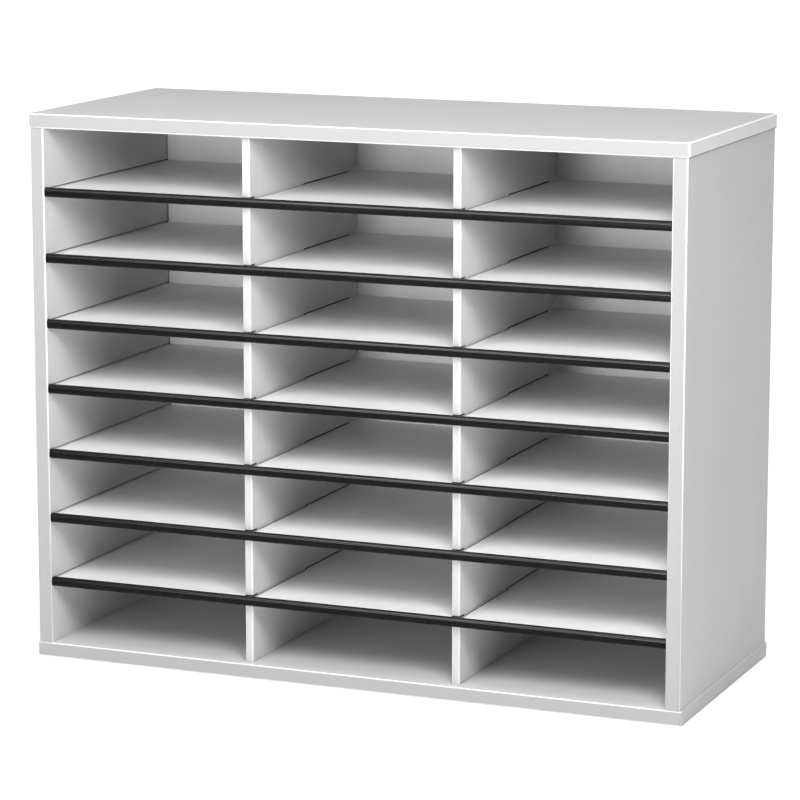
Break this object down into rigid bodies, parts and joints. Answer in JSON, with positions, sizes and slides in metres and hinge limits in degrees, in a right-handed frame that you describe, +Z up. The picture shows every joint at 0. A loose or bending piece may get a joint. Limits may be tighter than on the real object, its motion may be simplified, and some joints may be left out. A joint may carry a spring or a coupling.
{
  "type": "literature organizer",
  "caption": "Open-fronted laminated case whose interlocking shelves and dividers form rows of letter-size compartments for sorting printed literature.",
  "frame": {"origin": "on the standing surface, under the middle of the case", "axes": "+X to the right seen from the open front, +Y from the open front to the back, +Z up"},
  "size_m": [0.7378, 0.3016, 0.5951],
  "materials": {
    "laminate": "pale grey laminate on particle board, white on the inner faces of the sides, satin",
    "edge_band": "pale grey plastic edge band, satin, rounded",
    "hardboard": "thin hardboard, pale grey face to the front, raw brown face to the rear",
    "shelf_board": "thick corrugated fibreboard with white paper liner, matt",
    "divider_board": "doubled corrugated fibreboard with white paper liner, folded at the front, matt",
    "moulding": "black extruded plastic, satin",
    "dowel_wood": "plain beech",
    "steel": "bright zinc plated"
  },
  "bodies": {
    "root": {"top_panel": "laminate", "bottom_panel": "laminate", "left_side_panel": "laminate", "right_side_panel": "laminate", "top_edge_bands": "edge_band", "bottom_edge_bands": "edge_band", "left_side_edge_band": "edge_band", "right_side_edge_band": "edge_band", "back_panel": "hardboard", "top_dowels": "dowel_wood", "bottom_screws": "steel", "back_panel_nails": "steel", "divider_1": "divider_board", "divider_2": "divider_board", "shelf_1": "shelf_board", "shelf_moulding_1": "moulding", "shelf_2": "shelf_board", "shelf_moulding_2": "moulding", "shelf_3": "shelf_board", "shelf_moulding_3": "moulding", "shelf_4": "shelf_board", "shelf_moulding_4": "moulding", "shelf_5": "shelf_board", "shelf_moulding_5": "moulding", "shelf_6": "shelf_board", "shelf_moulding_6": "moulding", "shelf_7": "shelf_board", "shelf_moulding_7": "moulding"}
  },
  "joints": []
}
